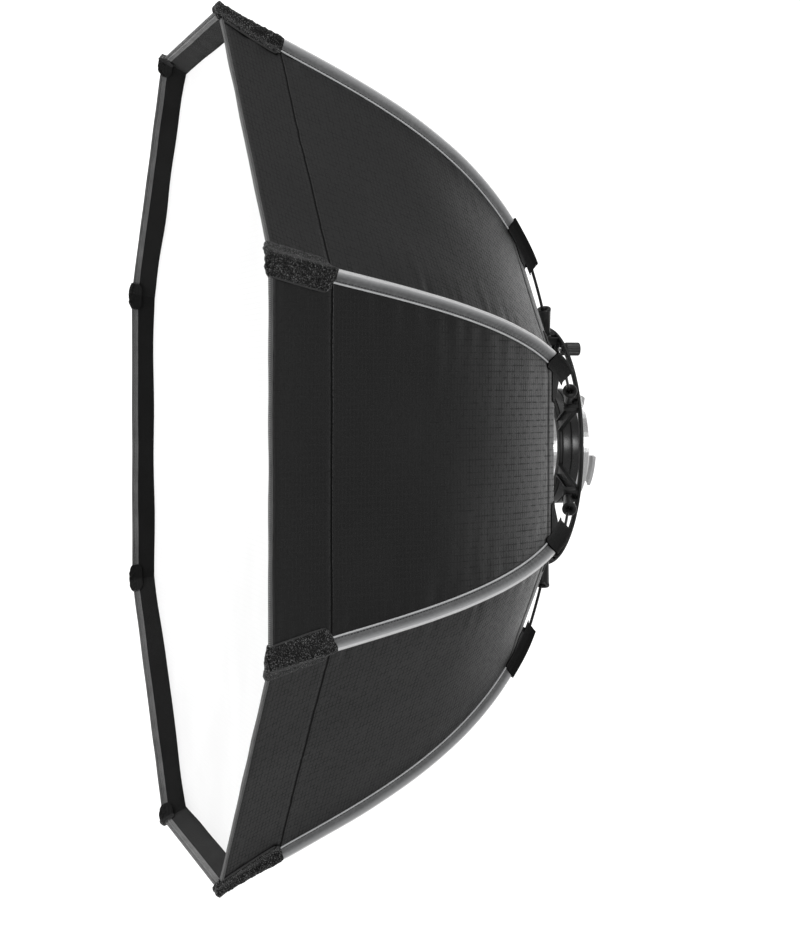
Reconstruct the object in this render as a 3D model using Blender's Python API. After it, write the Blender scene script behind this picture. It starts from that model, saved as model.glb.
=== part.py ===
"""Octagonal umbrella softbox, 0.9 m across its corners, with a bayonet speed ring.

Metres, +Z up. The light shines along -Y and the flash head joins from +Y. The origin is the
centre of the adapter's rear face. Eight ribs hinge on the hub and fold forward together.
"""

import bmesh
import bpy
from math import cos, pi, radians, sin
from mathutils import Matrix, Vector

# The whole softbox.
RIB_COUNT = 8
HALF_STEP = pi / RIB_COUNT
FRONT_Y = -0.408
GAP = 0.0003

# A rib's line, in its own plane: out along X from the hinge, and forward along -Y to its tip.
PIVOT_RADIUS = 0.1185
PIVOT_Y = FRONT_Y + 0.3665
TIP_RADIUS = 0.4470
START_TILT = radians(13.5)
TIP_TILT = radians(32.6)
START_HANDLE = 0.2246
TIP_HANDLE = 0.1205

# The rod follows that line at both ends and stands out from it between them, in its sleeve.
ROD_RADIUS = 0.0015
ROD_START = 0.030
ROD_END = 0.980
ROD_POINTS = 26
ROD_LIFT = 0.0032
ROD_TIP_LIFT = 0.0008
HUB_RUN = (0.08, 0.22)
TIP_RUN = (0.78, 0.97)

# Where the soft parts start and stop along Y.
LIP_Y = FRONT_Y + 0.0050
HEM_Y = FRONT_Y + 0.3215
TAB_FRONT_Y = FRONT_Y + 0.3090
TAB_BACK_Y = FRONT_Y + 0.3375
CAP_BACK_Y = FRONT_Y + 0.0655
CAP_INSIDE_Y = FRONT_Y + 0.0160
SHELL_POINTS = 14
TAB_POINTS = 6
CAP_POINTS = 8

# The fabric panel, as its outer face's distance out from the rib's line.
SHELL_LIFT = -0.0030
SHELL_TIP_LIFT = -0.0010
SHELL_THICKNESS = 0.0010

# Sleeve: a strip arched over the rod, with both edges sewn down on the panel.
SLEEVE_TOP = 0.0031
SLEEVE_THICKNESS = 0.0010
SLEEVE_SHOULDER = 0.0022
SLEEVE_FOOT = 0.0043
SLEEVE_HALF_WIDTH = 0.0060

# How far an arch's faces have fallen from its top at its shoulders, in thicknesses.
ROUND_FALL = 0.35
INNER_FALL = 1.80
OUTER_FALL = 2.00

# Tab: a wider strap arched over the end of the sleeve, and past the panel's hem.
TAB_TOP = 0.0090
TAB_THICKNESS = 0.0016
TAB_SHOULDER = 0.0024
TAB_FOOT = 0.0080
TAB_HALF_WIDTH = 0.0110

# Corner cap: a strap folded round the front corner.
CAP_THICKNESS = 0.0020
CAP_INSIDE = -0.0027
CAP_INSIDE_FACE = CAP_INSIDE - 0.0016
CAP_NOSE = 0.0012
CAP_SHOULDER = 0.0040
CAP_FOOT = 0.0085
CAP_FOOT_RISE = 0.0010
CAP_HALF_WIDTH = 0.0165

# Rod holder: a cone on a flat foot, with a pin moulded through the foot.
CONE_START = 0.0065
CONE_END = 0.0345
CONE_SMALL = 0.0037
CONE_LARGE = 0.0073
FOOT_RADIUS = 0.0042
FOOT_WIDTH = 0.0064
PIN_RADIUS = 0.0015
PIN_LENGTH = 0.0126
SHANK_RADIUS = 0.0026
SHANK_LENGTH = 0.0090
SOCKET_START = CONE_START + 0.006
SOCKET_LENGTH = 0.030
SOCKET_RADIUS = ROD_RADIUS + GAP
SOCKET_MOUTH = 0.0050

# Hub frame: a thin rim with hinge ears, joined by a spoke at each rib to the inner flange.
RIM_OUTER = 0.1240
RIM_INNER = 0.1172
RIM_FRONT_Y = FRONT_Y + 0.3760
RIM_BACK_Y = FRONT_Y + 0.3792
EAR_THICKNESS = 0.0030
EAR_OFFSET = FOOT_WIDTH / 2 + GAP + EAR_THICKNESS / 2
EAR_DEPTH = 0.0090
EAR_SLOPE = 0.0020
SPOKE_WIDTH = 0.014
FLANGE_OUTER = 0.0600
FLANGE_INNER = 0.0500
OVERLAP = 0.0030
THROUGH = 0.0200

# Collar and bayonet adapter, turned about Y.
COLLAR_FRONT_Y = RIM_BACK_Y + GAP
COLLAR_BACK_Y = FRONT_Y + 0.3975
COLLAR_OUTER = 0.0600
COLLAR_INNER = 0.0548
COLLAR_GROOVE_Y = FRONT_Y + 0.3885
COLLAR_GROOVE = 0.0010
NECK_OUTER = COLLAR_INNER - GAP
NECK_FRONT_Y = COLLAR_FRONT_Y + 0.0060
BORE_RADIUS = 0.0448
FLANGE_FRONT_Y = COLLAR_BACK_Y + GAP
ADAPTER_OUTER = 0.0590
CLAW_COUNT = 3
CLAW_OUTER = 0.0478
CLAW_LENGTH = 0.0095
CLAW_LIP = 0.0530
CLAW_LIP_DEPTH = 0.0030
CLAW_HALF_ANGLE = radians(19)
NOTCH_ANGLE = radians(42)
NOTCH_WIDTH = 0.0080
NOTCH_DEPTH = 0.0040
NOTCH_FLOOR = 0.0010
CLAW_ROOT = 0.0020
CLAW_STEP = 0.0005
ADAPTER_CHAMFER = 0.0006
RETAINER_OUTER = NECK_OUTER
RETAINER_INNER = 0.0450
RETAINER_THICKNESS = 0.0024
SCREW_CIRCLE = 0.0574
SCREW_HEAD = 0.0019
SCREW_HEAD_HEIGHT = 0.0013
SCREW_SHANK = 0.0010
SCREW_LENGTH = 0.0085
SCREW_HOLE_DEPTH = 0.0065

# Lock knob on the back of the rim.
KNOB_ANGLE = radians(57.6)
KNOB_RADIUS = 0.0068
KNOB_LENGTH = 0.0150
KNOB_FLUTES = 12
KNOB_FLUTE_DEPTH = 0.0007
KNOB_FOOT = (0.94, 0.0006)
KNOB_CROWN = (0.90, 0.0010)
KNOB_BORE_DEPTH = 0.0075
STUD_RADIUS = 0.0020
STUD_FRONT = 0.0065
STUD_BACK = 0.0070
BOSS_RADIUS = 0.0058

# Fabric screens across the inside.
SCREEN_THICKNESS = 0.0010
DIFFUSER_Y = FRONT_Y + 0.0280
DIFFUSER_INSET = 0.0048
BAFFLE_Y = FRONT_Y + 0.1900
BAFFLE_INSET = 0.0085

FINISHES = {
    "black_fabric": ((0.018, 0.018, 0.020), 0.85, 0.0),
    "grey_tape": ((0.30, 0.31, 0.32), 0.45, 0.0),
    "black_webbing": ((0.010, 0.010, 0.011), 0.90, 0.0),
    "hook_and_loop": ((0.013, 0.013, 0.014), 0.95, 0.0),
    "white_fabric": ((0.86, 0.86, 0.86), 0.80, 0.0),
    "black_plastic": ((0.016, 0.016, 0.017), 0.45, 0.0),
    "black_rod": ((0.010, 0.010, 0.010), 0.35, 0.2),
    "silver_metal": ((0.80, 0.80, 0.81), 0.28, 1.0),
    "steel": ((0.55, 0.55, 0.56), 0.30, 1.0),
}


def clear_scene():
    for obj in list(bpy.data.objects):
        bpy.data.objects.remove(obj, do_unlink=True)


def material(finish):
    """A new Principled material in one of the finishes."""
    color, roughness, metallic = FINISHES[finish]
    made = bpy.data.materials.new(finish)
    made.use_nodes = True
    shader = made.node_tree.nodes["Principled BSDF"]
    shader.inputs["Base Color"].default_value = (*color, 1.0)
    shader.inputs["Roughness"].default_value = roughness
    shader.inputs["Metallic"].default_value = metallic
    return made


def link(obj, parent=None):
    bpy.context.collection.objects.link(obj)
    obj.parent = parent
    return obj


def mesh_object(name, mesh, finish, parent=None):
    """An object of its own with its own material, on a mesh that others may share."""
    obj = link(bpy.data.objects.new(name, mesh), parent)
    if not mesh.materials:
        mesh.materials.append(None)
    obj.material_slots[0].link = "OBJECT"
    obj.material_slots[0].material = material(finish)
    return obj


def finished_mesh(name, shape, smooth_angle=None):
    """A mesh from a bmesh, with its faces turned outward."""
    bmesh.ops.recalc_face_normals(shape, faces=shape.faces)
    mesh = bpy.data.meshes.new(name)
    shape.to_mesh(mesh)
    shape.free()
    if smooth_angle:
        mesh.shade_smooth()
        mesh.set_sharp_from_angle(angle=smooth_angle)
    return mesh


def cutter(obj):
    obj.hide_render = True
    obj.display_type = "WIRE"
    return obj


def boolean(obj, other, operation):
    modifier = obj.modifiers.new(other.name, "BOOLEAN")
    modifier.operation = operation
    modifier.object = cutter(other)
    return obj


# The rib's curve -------------------------------------------------------------------------


def rib_handles():
    """The four control points of the rib's Bezier curve."""
    start = Vector((0.0, 0.0))
    tip = Vector((TIP_RADIUS - PIVOT_RADIUS, FRONT_Y - PIVOT_Y))
    return (
        start,
        start + START_HANDLE * Vector((cos(START_TILT), -sin(START_TILT))),
        tip + TIP_HANDLE * Vector((-sin(TIP_TILT), cos(TIP_TILT))),
        tip,
    )


def rib_point(share, offset=0.0):
    """The point at that share of the curve, moved out from it by offset."""
    a, b, c, d = rib_handles()
    t, s = share, 1.0 - share
    point = s**3 * a + 3 * s * s * t * b + 3 * s * t * t * c + t**3 * d
    along = (s * s * (b - a) + 2 * s * t * (c - b) + t * t * (d - c)).normalized()
    return point + offset * Vector((-along.y, along.x))


def share_where_y(y):
    """The share of the curve that lies at that height y, found by halving."""
    low, high = 0.0, 1.0
    for _ in range(40):
        middle = (low + high) / 2
        if rib_point(middle).y + PIVOT_Y > y:
            low = middle
        else:
            high = middle
    return low


def spaced(first, last, count):
    return [first + (last - first) * i / (count - 1) for i in range(count)]


def smooth(share, low, high):
    """0 up to low, 1 from high on, and a smooth step between them."""
    t = min(1.0, max(0.0, (share - low) / (high - low)))
    return t * t * (3 - 2 * t)


def rod_offset(share):
    """How far the rod's centreline stands out from the rib's line."""
    ending = smooth(share, *TIP_RUN)
    return ROD_LIFT * smooth(share, *HUB_RUN) * (1 - ending) + ROD_TIP_LIFT * ending


def shell_offset(share):
    """How far the panel's outer face stands out from the rib's line."""
    return SHELL_LIFT + (SHELL_TIP_LIFT - SHELL_LIFT) * smooth(share, *TIP_RUN)


def part_way(low, high, share):
    return low + (high - low) * share


def layer(shares, inner, outer):
    """The closed outline of a layer along the rib. Its two offsets are functions of share."""
    over = [rib_point(share, outer(share)) for share in shares]
    under = [rib_point(share, inner(share)) for share in reversed(shares)]
    return over + under


# Soft parts, which bend over the rib from one flat side of the octagon to the next --------


def on_side(point, side, reach):
    """A point of the rib's plane carried sideways on the octagon's flat side."""
    radius = point.x + PIVOT_RADIUS
    across = side * reach(radius)
    fall = abs(across) * sin(HALF_STEP) / cos(HALF_STEP)
    return Vector((point.x - fall, point.y, across))


def folded_mesh(name, stations):
    """A solid over both flat sides. Each station has its reach sideways, as a function of
    radius, and its closed outline in the rib's plane. The first lies in that plane."""
    shape = bmesh.new()
    sides = [(-1, station) for station in reversed(stations[1:])]
    sides += [(0, stations[0])] + [(1, station) for station in stations[1:]]
    rings = []
    for side, (reach, outline) in sides:
        rings.append([shape.verts.new(on_side(p, side, reach)) for p in outline])
    for near, far in zip(rings, rings[1:]):
        for i in range(len(near)):
            j = (i + 1) % len(near)
            shape.faces.new((near[i], near[j], far[j], far[i]))
    shape.faces.new(rings[0])
    shape.faces.new(rings[-1])
    return finished_mesh(name, shape)


def at(distance):
    """A reach that is the same all along the rib."""
    return lambda radius: distance


def half_gore(radius):
    """How far sideways a panel reaches from its rib, to the middle of the gore."""
    return (radius - GAP) * sin(HALF_STEP) * cos(HALF_STEP)


def shell_inside(share):
    return shell_offset(share) - SHELL_THICKNESS


def on_panel(share):
    return shell_offset(share) + GAP


def shell_mesh():
    shares = spaced(share_where_y(HEM_Y), share_where_y(LIP_Y), SHELL_POINTS)
    outline = layer(shares, shell_inside, shell_offset)
    return folded_mesh("shell_panel", [(at(0.0), outline), (half_gore, outline)])


def arch_stations(shares, top, thickness, shoulder, foot, half_width):
    """A strip arched over the rod: a round top, two sloping sides, and a sewn edge each side."""
    out = foot + thickness
    shoulder_out = shoulder + thickness

    def inner_shoulder(share):
        return top(share) - INNER_FALL * thickness

    def outer_shoulder(share):
        return top(share) - OUTER_FALL * thickness

    def slope_inside(share):
        along = thickness / (foot - shoulder)
        return part_way(inner_shoulder(share), on_panel(share), along)

    def slope_outside(share):
        along = (foot - shoulder_out) / (out - shoulder_out)
        return part_way(outer_shoulder(share), on_panel(share) + thickness, along)

    def sewn_top(share):
        return on_panel(share) + thickness

    return [
        (at(0.0), layer(shares, lambda s: top(s) - thickness, top)),
        (at(shoulder), layer(shares, inner_shoulder, lambda s: top(s) - ROUND_FALL * thickness)),
        (at(shoulder_out), layer(shares, slope_inside, outer_shoulder)),
        (at(foot), layer(shares, on_panel, slope_outside)),
        (at(out), layer(shares, on_panel, sewn_top)),
        (at(half_width), layer(shares, on_panel, sewn_top)),
    ]


def sleeve_mesh():
    first, last = share_where_y(TAB_FRONT_Y), share_where_y(CAP_BACK_Y)
    stations = arch_stations(
        spaced(first, last, SHELL_POINTS),
        lambda share: rod_offset(share) + SLEEVE_TOP,
        SLEEVE_THICKNESS,
        SLEEVE_SHOULDER,
        SLEEVE_FOOT,
        SLEEVE_HALF_WIDTH,
    )
    return folded_mesh("rib_sleeve", stations)


def tab_mesh():
    first, last = share_where_y(TAB_BACK_Y), share_where_y(TAB_FRONT_Y + GAP)
    stations = arch_stations(
        spaced(first, last, TAB_POINTS),
        lambda share: TAB_TOP,
        TAB_THICKNESS,
        TAB_SHOULDER,
        TAB_FOOT,
        TAB_HALF_WIDTH,
    )
    return folded_mesh("end_tab", stations)


def cap_outline(under_offset):
    """The cap's outline where its outer layer lies that far out from the rib's line."""
    tip_along = (rib_point(1.0) - rib_point(0.99)).normalized()
    outer = spaced(share_where_y(CAP_BACK_Y - 2 * GAP), 1.0, CAP_POINTS)
    inner = spaced(1.0, share_where_y(CAP_INSIDE_Y), 3)
    over = [rib_point(s, under_offset(s) + CAP_THICKNESS) for s in outer]
    nose_top = rib_point(1.0, under_offset(1.0) + CAP_THICKNESS / 2) + CAP_NOSE * tip_along
    nose_bottom = rib_point(1.0, CAP_INSIDE) + CAP_NOSE * tip_along
    inside = [rib_point(s, CAP_INSIDE_FACE) for s in inner]
    inside_back = [rib_point(s, CAP_INSIDE) for s in reversed(inner)]
    slot_bottom = rib_point(1.0, CAP_INSIDE) + GAP * tip_along
    slot_top = rib_point(1.0, under_offset(1.0)) + GAP * tip_along
    under = [rib_point(s, under_offset(s)) for s in reversed(outer)]
    return over + [nose_top, nose_bottom, *inside, *inside_back, slot_bottom, slot_top] + under


def cap_mesh():
    """A strap folded round the front corner, over the fabric's edge and the rod's tip."""

    def over_rod(share):
        return rod_offset(share) + ROD_RADIUS + 2 * GAP

    def shoulder(share):
        return part_way(on_panel(share), over_rod(share), 0.75)

    def foot(share):
        return on_panel(share) + CAP_FOOT_RISE

    stations = [
        (at(0.0), cap_outline(over_rod)),
        (at(CAP_SHOULDER), cap_outline(shoulder)),
        (at(CAP_FOOT), cap_outline(foot)),
        (at(CAP_HALF_WIDTH), cap_outline(on_panel)),
    ]
    return folded_mesh("corner_cap", stations)


def screen_mesh(name, y, inset):
    """A flat octagon of fabric, with its corners just inside the ribs."""
    corner = rib_point(share_where_y(y), -inset).x + PIVOT_RADIUS
    shape = bmesh.new()
    ring = []
    for i in range(RIB_COUNT):
        angle = HALF_STEP * (2 * i + 1)
        ring.append(shape.verts.new((corner * cos(angle), y, corner * sin(angle))))
    face = shape.faces.new(ring)
    made = bmesh.ops.extrude_face_region(shape, geom=[face])
    moved = [v for v in made["geom"] if isinstance(v, bmesh.types.BMVert)]
    bmesh.ops.translate(shape, verts=moved, vec=(0.0, SCREEN_THICKNESS, 0.0))
    return finished_mesh(name, shape)


# Rod and its holder -----------------------------------------------------------------------


def rod_curve():
    curve = bpy.data.curves.new("rib_rod", "CURVE")
    curve.dimensions = "3D"
    curve.bevel_depth = ROD_RADIUS
    curve.bevel_resolution = 1
    curve.use_fill_caps = True
    spline = curve.splines.new("POLY")
    spline.points.add(ROD_POINTS - 1)
    for point, share in zip(spline.points, spaced(ROD_START, ROD_END, ROD_POINTS)):
        place = rib_point(share, rod_offset(share))
        point.co = (place.x, place.y, 0.0, 1.0)
    return curve


def cylinder(shape, radius, length, sides, matrix, end_radius=None):
    """A cylinder or cone about the matrix's Z axis, from its origin."""
    end_radius = radius if end_radius is None else end_radius
    bmesh.ops.create_cone(
        shape,
        cap_ends=True,
        segments=sides,
        radius1=radius,
        radius2=end_radius,
        depth=length,
        matrix=matrix @ Matrix.Translation((0, 0, length / 2)),
    )


def helper(name, build, parent=None):
    """A hidden object for a Boolean, made by build(bmesh)."""
    shape = bmesh.new()
    build(shape)
    return cutter(link(bpy.data.objects.new(name, finished_mesh(name, shape)), parent))


def evaluated_mesh(obj, name, smooth_angle=radians(35)):
    """The object's mesh with its modifiers applied. The object and its cutters are removed."""
    bpy.context.view_layer.update()
    graph = bpy.context.evaluated_depsgraph_get()
    mesh = bpy.data.meshes.new_from_object(obj.evaluated_get(graph))
    mesh.name = name
    mesh.shade_smooth()
    mesh.set_sharp_from_angle(angle=smooth_angle)
    used = [modifier.object for modifier in obj.modifiers]
    for spent in [obj, *used]:
        bpy.data.objects.remove(spent, do_unlink=True)
    return mesh


def cone_matrix(start):
    """Along the rod's first direction, from that distance out."""
    toward = Vector((cos(START_TILT), -sin(START_TILT), 0.0))
    turn = toward.to_track_quat("Z", "Y").to_matrix().to_4x4()
    return Matrix.Translation(start * toward) @ turn


def holder_mesh():
    across = Matrix.Translation((0, 0, -FOOT_WIDTH / 2))
    pin_across = Matrix.Translation((0, 0, -PIN_LENGTH / 2))
    length = CONE_END - CONE_START
    cone = helper(
        "cone",
        lambda s: cylinder(s, CONE_SMALL, length, 20, cone_matrix(CONE_START), CONE_LARGE),
    )
    foot = helper("foot", lambda s: cylinder(s, FOOT_RADIUS, FOOT_WIDTH, 20, across))
    shank = (SHANK_RADIUS, SHANK_LENGTH, 12, cone_matrix(0.0))
    neck = helper("neck", lambda s: cylinder(s, *shank))
    pin = helper("pin", lambda s: cylinder(s, PIN_RADIUS, PIN_LENGTH, 12, pin_across))
    hollow = (SOCKET_RADIUS, SOCKET_LENGTH, 16, cone_matrix(SOCKET_START), SOCKET_MOUTH)
    socket = helper("socket", lambda s: cylinder(s, *hollow))
    for other in (foot, neck, pin):
        boolean(cone, other, "UNION")
    boolean(cone, socket, "DIFFERENCE")
    return evaluated_mesh(cone, "rod_holder")


# Hub --------------------------------------------------------------------------------------


def turned_ring(name, profile, sides):
    """A closed profile of (radius, y) points turned about Y."""
    shape = bmesh.new()
    rings = []
    for i in range(sides):
        angle = 2 * pi * i / sides
        rings.append(
            [shape.verts.new((r * cos(angle), y, r * sin(angle))) for r, y in profile]
        )
    for i, ring in enumerate(rings):
        following = rings[(i + 1) % sides]
        for j in range(len(profile)):
            k = (j + 1) % len(profile)
            shape.faces.new((ring[j], ring[k], following[k], following[j]))
    return finished_mesh(name, shape, radians(35))


def tube_profile(inner, outer, front, back):
    return [(outer, front), (outer, back), (inner, back), (inner, front)]


def box(shape, low, high, turn):
    """A box between two corners, turned about Y."""
    low, high = Vector(low), Vector(high)
    size = high - low
    matrix = turn @ Matrix.Translation((low + high) / 2)
    bmesh.ops.create_cube(shape, size=1.0, matrix=matrix @ Matrix.Diagonal((*size, 1.0)))


def about_y(angle):
    """Turns +X to the direction at that angle up from +X, seen from -Y."""
    return Matrix.Rotation(-angle, 4, "Y")


def rib_angle(index):
    return HALF_STEP * (2 * index + 1)


def hub_frame():
    rim = turned_ring(
        "rim", tube_profile(RIM_INNER, RIM_OUTER, RIM_FRONT_Y, RIM_BACK_Y), 80
    )
    frame = mesh_object("hub_frame", rim, "black_plastic")
    flange = turned_ring(
        "flange", tube_profile(FLANGE_INNER, FLANGE_OUTER, RIM_FRONT_Y, RIM_BACK_Y), 64
    )
    boolean(frame, link(bpy.data.objects.new("flange", flange)), "UNION")
    inner, outer = FLANGE_OUTER - OVERLAP, RIM_OUTER - OVERLAP
    for i in range(RIB_COUNT):
        turn = about_y(rib_angle(i))
        low = (inner, RIM_FRONT_Y, -SPOKE_WIDTH / 2)
        high = (outer, RIM_BACK_Y, SPOKE_WIDTH / 2)
        boolean(frame, helper(f"spoke_{i}", lambda s: box(s, low, high, turn)), "UNION")
    for i in range(RIB_COUNT):
        add_ears(frame, i)
    knob_at = about_y(KNOB_ANGLE) @ Matrix.Translation((PIVOT_RADIUS, RIM_FRONT_Y, 0))
    along_y = Matrix.Rotation(-pi / 2, 4, "X")
    depth = RIM_BACK_Y - RIM_FRONT_Y
    boss = helper("boss", lambda s: cylinder(s, BOSS_RADIUS, depth, 20, knob_at @ along_y))
    boolean(frame, boss, "UNION")
    through = knob_at @ Matrix.Translation((0, -THROUGH / 2, 0)) @ along_y
    hole = helper("stud_hole", lambda s: cylinder(s, STUD_RADIUS + GAP, THROUGH, 16, through))
    boolean(frame, hole, "DIFFERENCE")
    drill_flange(frame)
    return frame


def ear_outline():
    """An ear's outline in the rib's plane, from the rim forward round the hinge pin."""
    back = RIM_BACK_Y - PIVOT_Y
    half = EAR_DEPTH / 2
    arc = [Vector((half * cos(a), -half * sin(a))) for a in spaced(0.0, pi, 9)]
    return [Vector((half, back)), *arc, Vector((-half + EAR_SLOPE, back))]


def ear_solid(shape, turn, offset):
    """One ear, which stands across the rib's plane at that offset."""
    rings = []
    for side in (-0.5, 0.5):
        z = offset + side * EAR_THICKNESS
        rings.append(
            [
                shape.verts.new(turn @ Vector((p.x + PIVOT_RADIUS, p.y + PIVOT_Y, z)))
                for p in ear_outline()
            ]
        )
    near, far = rings
    for i in range(len(near)):
        j = (i + 1) % len(near)
        shape.faces.new((near[i], near[j], far[j], far[i]))
    shape.faces.new(near)
    shape.faces.new(far)


def add_ears(frame, index):
    turn = about_y(rib_angle(index))
    for offset in (-EAR_OFFSET, EAR_OFFSET):
        name = f"ear_{index}_{offset > 0}"
        boolean(frame, helper(name, lambda s: ear_solid(s, turn, offset)), "UNION")
    place = turn @ Matrix.Translation((PIVOT_RADIUS, PIVOT_Y, -THROUGH / 2))
    hole = helper(
        f"pin_hole_{index}", lambda s: cylinder(s, PIN_RADIUS + GAP, THROUGH, 12, place)
    )
    boolean(frame, hole, "DIFFERENCE")


def screw_places():
    return [about_y(pi / 4 + pi / 2 * i) for i in range(4)]


def drill_flange(frame):
    along_y = Matrix.Rotation(-pi / 2, 4, "X")
    for i, turn in enumerate(screw_places()):
        front = Matrix.Translation((SCREW_CIRCLE, RIM_FRONT_Y - THROUGH / 2, 0))
        place = turn @ front @ along_y
        hole = helper(
            f"screw_hole_{i}", lambda s: cylinder(s, SCREW_SHANK + GAP, THROUGH, 10, place)
        )
        boolean(frame, hole, "DIFFERENCE")


def collar():
    """The black sleeve in which the adapter turns, with a grip groove round it."""
    half = COLLAR_GROOVE / 2
    profile = [
        (COLLAR_OUTER, COLLAR_FRONT_Y),
        (COLLAR_OUTER, COLLAR_GROOVE_Y - half),
        (COLLAR_OUTER - COLLAR_GROOVE, COLLAR_GROOVE_Y - half),
        (COLLAR_OUTER - COLLAR_GROOVE, COLLAR_GROOVE_Y + half),
        (COLLAR_OUTER, COLLAR_GROOVE_Y + half),
        (COLLAR_OUTER, COLLAR_BACK_Y),
        (COLLAR_INNER, COLLAR_BACK_Y),
        (COLLAR_INNER, COLLAR_FRONT_Y),
    ]
    ring = mesh_object("collar", turned_ring("collar", profile, 64), "black_plastic")
    along_y = Matrix.Rotation(-pi / 2, 4, "X")
    for i, turn in enumerate(screw_places()):
        place = turn @ Matrix.Translation((SCREW_CIRCLE, COLLAR_FRONT_Y - OVERLAP, 0))
        depth = OVERLAP + SCREW_HOLE_DEPTH
        hole = helper(
            f"collar_hole_{i}",
            lambda s: cylinder(s, SCREW_SHANK + GAP, depth, 10, place @ along_y),
        )
        boolean(ring, hole, "DIFFERENCE")
    return ring


def collar_screws():
    """Four screws through the flange's front face into the collar."""
    along_y = Matrix.Rotation(-pi / 2, 4, "X")
    for i, turn in enumerate(screw_places()):
        head_y = RIM_FRONT_Y - GAP - SCREW_HEAD_HEIGHT
        head = turn @ Matrix.Translation((SCREW_CIRCLE, head_y, 0)) @ along_y
        shank = head @ Matrix.Translation((0, 0, SCREW_HEAD_HEIGHT - GAP))
        shape = bmesh.new()
        cylinder(shape, SCREW_HEAD, SCREW_HEAD_HEIGHT, 14, head)
        screw = mesh_object(
            f"collar_screw_{i + 1}", finished_mesh("screw", shape, radians(35)), "steel"
        )
        stem = helper(
            f"stem_{i}", lambda s: cylinder(s, SCREW_SHANK, SCREW_LENGTH, 10, shank)
        )
        boolean(screw, stem, "UNION")


def arc_solid(shape, profile, middle, half_angle):
    """A closed profile of (radius, y) points turned part of the way round Y."""
    rings = []
    for angle in spaced(middle - half_angle, middle + half_angle, 7):
        rings.append(
            [shape.verts.new((r * cos(angle), y, r * sin(angle))) for r, y in profile]
        )
    for near, far in zip(rings, rings[1:]):
        for j in range(len(profile)):
            k = (j + 1) % len(profile)
            shape.faces.new((near[j], near[k], far[k], far[j]))
    shape.faces.new(rings[0])
    shape.faces.new(rings[-1])


def claw_profile():
    """A wall that stands back from the flange, with a lip turned outward at its end."""
    root = -CLAW_ROOT
    inner = BORE_RADIUS + CLAW_STEP
    lip = CLAW_LENGTH - CLAW_LIP_DEPTH
    return [
        (inner, root),
        (CLAW_OUTER, root),
        (CLAW_OUTER, lip),
        (CLAW_LIP, lip),
        (CLAW_LIP, CLAW_LENGTH),
        (inner, CLAW_LENGTH),
    ]


def adapter():
    """The silver bayonet ring: a flange, a neck that turns in the collar, and three claws."""
    profile = [
        (ADAPTER_OUTER, FLANGE_FRONT_Y),
        (ADAPTER_OUTER, -ADAPTER_CHAMFER),
        (ADAPTER_OUTER - ADAPTER_CHAMFER, 0.0),
        (BORE_RADIUS, 0.0),
        (BORE_RADIUS, NECK_FRONT_Y),
        (NECK_OUTER, NECK_FRONT_Y),
        (NECK_OUTER, FLANGE_FRONT_Y),
    ]
    ring = mesh_object("bayonet_adapter", turned_ring("adapter", profile, 72), "silver_metal")
    for i in range(CLAW_COUNT):
        middle = pi / 2 + 2 * pi * i / CLAW_COUNT
        turned = (claw_profile(), middle, CLAW_HALF_ANGLE)
        boolean(ring, helper(f"claw_{i}", lambda s: arc_solid(s, *turned)), "UNION")
    turn = about_y(NOTCH_ANGLE)
    low = (ADAPTER_OUTER - NOTCH_DEPTH, FLANGE_FRONT_Y + NOTCH_FLOOR, -NOTCH_WIDTH / 2)
    high = (ADAPTER_OUTER + NOTCH_DEPTH, OVERLAP, NOTCH_WIDTH / 2)
    boolean(ring, helper("notch", lambda s: box(s, low, high, turn)), "DIFFERENCE")
    return ring


def retaining_ring():
    """A black washer in front of the adapter's neck, which keeps it in the collar."""
    back = NECK_FRONT_Y - GAP
    profile = tube_profile(RETAINER_INNER, RETAINER_OUTER, back - RETAINER_THICKNESS, back)
    ring = turned_ring("retaining_ring", profile, 56)
    return mesh_object("retaining_ring", ring, "black_plastic")


def lock_knob():
    """A fluted knob on a stud through the rim, with its empty on the turning axis."""
    axis = link(bpy.data.objects.new("knob_axis", None))
    axis.location = about_y(KNOB_ANGLE) @ Vector((PIVOT_RADIUS, RIM_BACK_Y, 0))
    shape = bmesh.new()
    steps = KNOB_FLUTES * 4
    outline = []
    for i in range(steps):
        angle = 2 * pi * i / steps
        radius = KNOB_RADIUS - KNOB_FLUTE_DEPTH * (i % 4 == 0)
        outline.append((radius * cos(angle), radius * sin(angle)))
    levels = [
        (KNOB_FOOT[0], GAP),
        (1.0, GAP + KNOB_FOOT[1]),
        (1.0, KNOB_LENGTH - KNOB_CROWN[1]),
        (KNOB_CROWN[0], KNOB_LENGTH),
    ]
    rings = [[shape.verts.new((x * k, y, z * k)) for x, z in outline] for k, y in levels]
    for near, far in zip(rings, rings[1:]):
        for i in range(steps):
            j = (i + 1) % steps
            shape.faces.new((near[i], near[j], far[j], far[i]))
    shape.faces.new(rings[0])
    shape.faces.new(rings[-1])
    knob = mesh_object("lock_knob", finished_mesh("lock_knob", shape), "black_plastic", axis)
    along_y = Matrix.Rotation(-pi / 2, 4, "X")
    bore = (STUD_RADIUS + GAP, KNOB_BORE_DEPTH, 16, along_y)
    socket = helper("knob_bore", lambda s: cylinder(s, *bore), axis)
    boolean(knob, socket, "DIFFERENCE")
    shape = bmesh.new()
    start = Matrix.Translation((0, -STUD_FRONT, 0)) @ along_y
    cylinder(shape, STUD_RADIUS, STUD_FRONT + STUD_BACK, 16, start)
    mesh_object("lock_stud", finished_mesh("lock_stud", shape, radians(35)), "steel", axis)


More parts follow.
